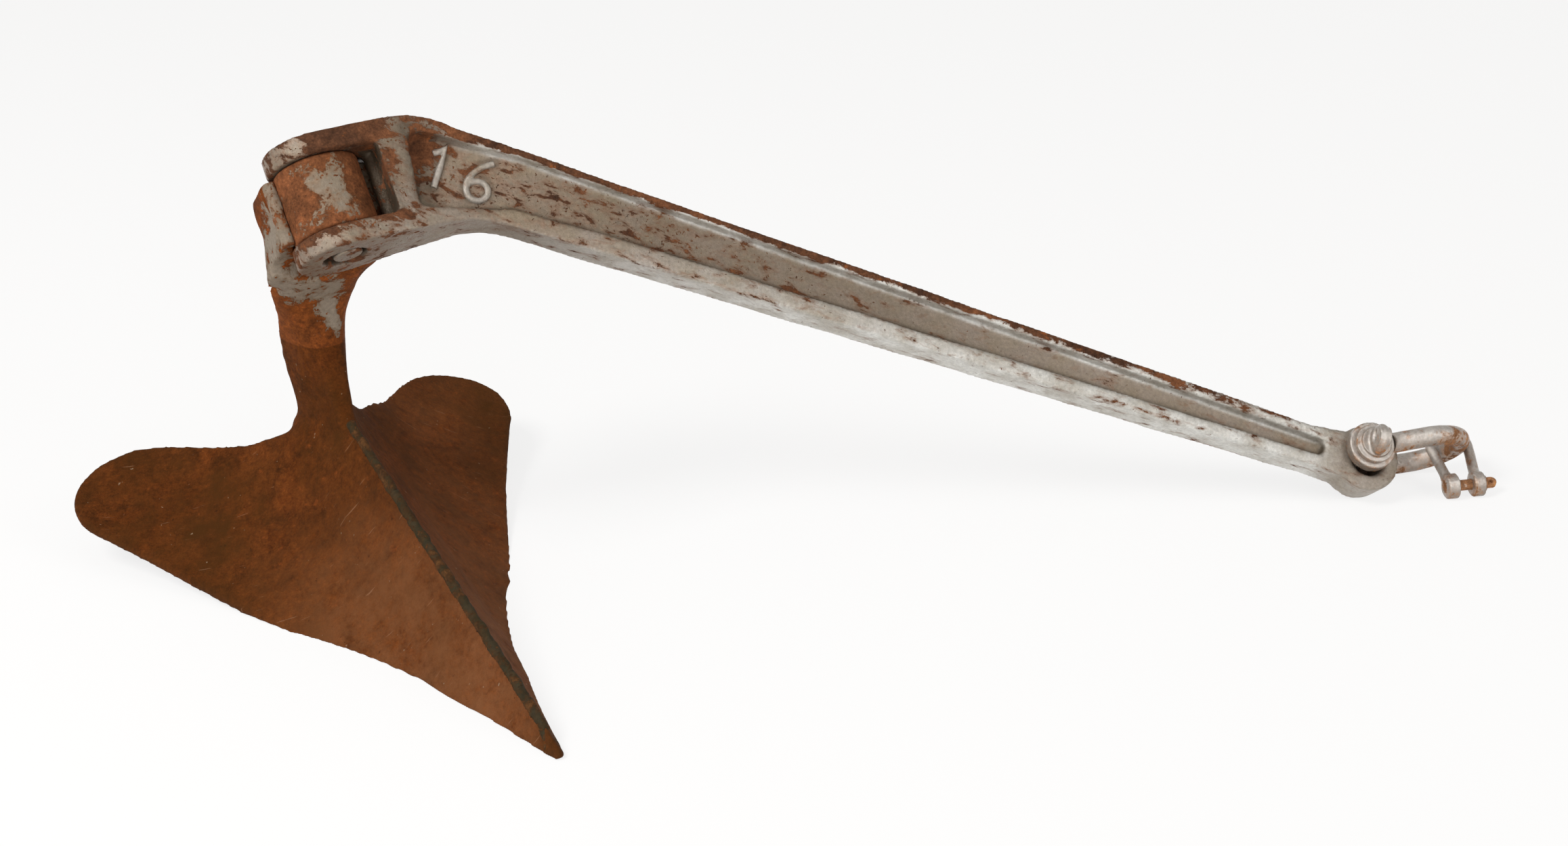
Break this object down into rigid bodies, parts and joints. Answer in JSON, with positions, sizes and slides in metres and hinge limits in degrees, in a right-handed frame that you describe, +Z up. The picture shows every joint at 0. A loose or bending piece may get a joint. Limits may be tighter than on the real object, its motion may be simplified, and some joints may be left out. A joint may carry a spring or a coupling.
{
  "type": "boat anchor",
  "caption": "Hinged plough anchor with a bent I-section shank, twin mouldboard shares on a horn, and a bow shackle with a small shackle at the eye.",
  "frame": {"origin": "middle of the bounding box on the floor the anchor rests on", "axes": "+Z up from the floor, +X in plan from the hinge towards the shackles, +Y completes the right-handed frame"},
  "size_m": [1.1212, 0.5324, 0.3554],
  "materials": {
    "shank_paint": "worn silver paint over rust",
    "pin_steel": "worn paint over rust",
    "barrel_rust": "rust with flaking paint",
    "horn_rust": "rust with paint runs",
    "weld_metal": "rough painted weld",
    "share_rust": "pitted rust",
    "seam_rust": "rough dark weld bead",
    "shackle_metal": "worn zinc over rust",
    "small_shackle_metal": "worn zinc over rust"
  },
  "bodies": {
    "plough": {"horn": "horn_rust", "barrel": "barrel_rust", "barrel_weld_right": "weld_metal", "barrel_weld_left": "weld_metal", "right_share": "share_rust", "left_share": "share_rust", "ridge_weld": "seam_rust"},
    "shank_body": {"shank": "shank_paint", "hinge_pin": "pin_steel"},
    "shackle": {"shackle_bow": "shackle_metal"},
    "shackle_screw": {"shackle_pin": "shackle_metal"},
    "small_shackle": {"small_shackle_bow": "small_shackle_metal"},
    "small_shackle_screw": {"small_shackle_pin": "small_shackle_metal"}
  },
  "joints": [
    {"name": "shank_swing", "type": "hinge", "parent": "plough", "child": "shank_body", "pos_m": [-0.32169, 0.02863, 0.2994], "axis": [-0.3006, 0.5357, 0.7891], "range_deg": [-169, 6]},
    {"name": "shackle_swing", "type": "hinge", "parent": "shank_body", "child": "shackle", "pos_m": [0.45447, 0.07422, 0.03266], "axis": [-0.1943, 0.6973, -0.6899], "range_deg": [-90, 130]},
    {"name": "shackle_screw_turn", "type": "hinge", "parent": "shackle", "child": "shackle_screw", "pos_m": [0.45447, 0.07422, 0.03266], "axis": [0.1943, -0.6973, 0.6899], "range_deg": [0, 360]},
    {"name": "small_shackle_swing", "type": "hinge", "parent": "shackle", "child": "small_shackle", "pos_m": [0.53366, 0.0959, 0.02561], "axis": [-0.3278, 0.6593, -0.6767], "range_deg": [-150, 15]},
    {"name": "small_screw_turn", "type": "hinge", "parent": "small_shackle", "child": "small_shackle_screw", "pos_m": [0.53468, 0.0614, 0.00927], "axis": [0.9945, 0.1045, 0], "range_deg": [0, 360]}
  ]
}
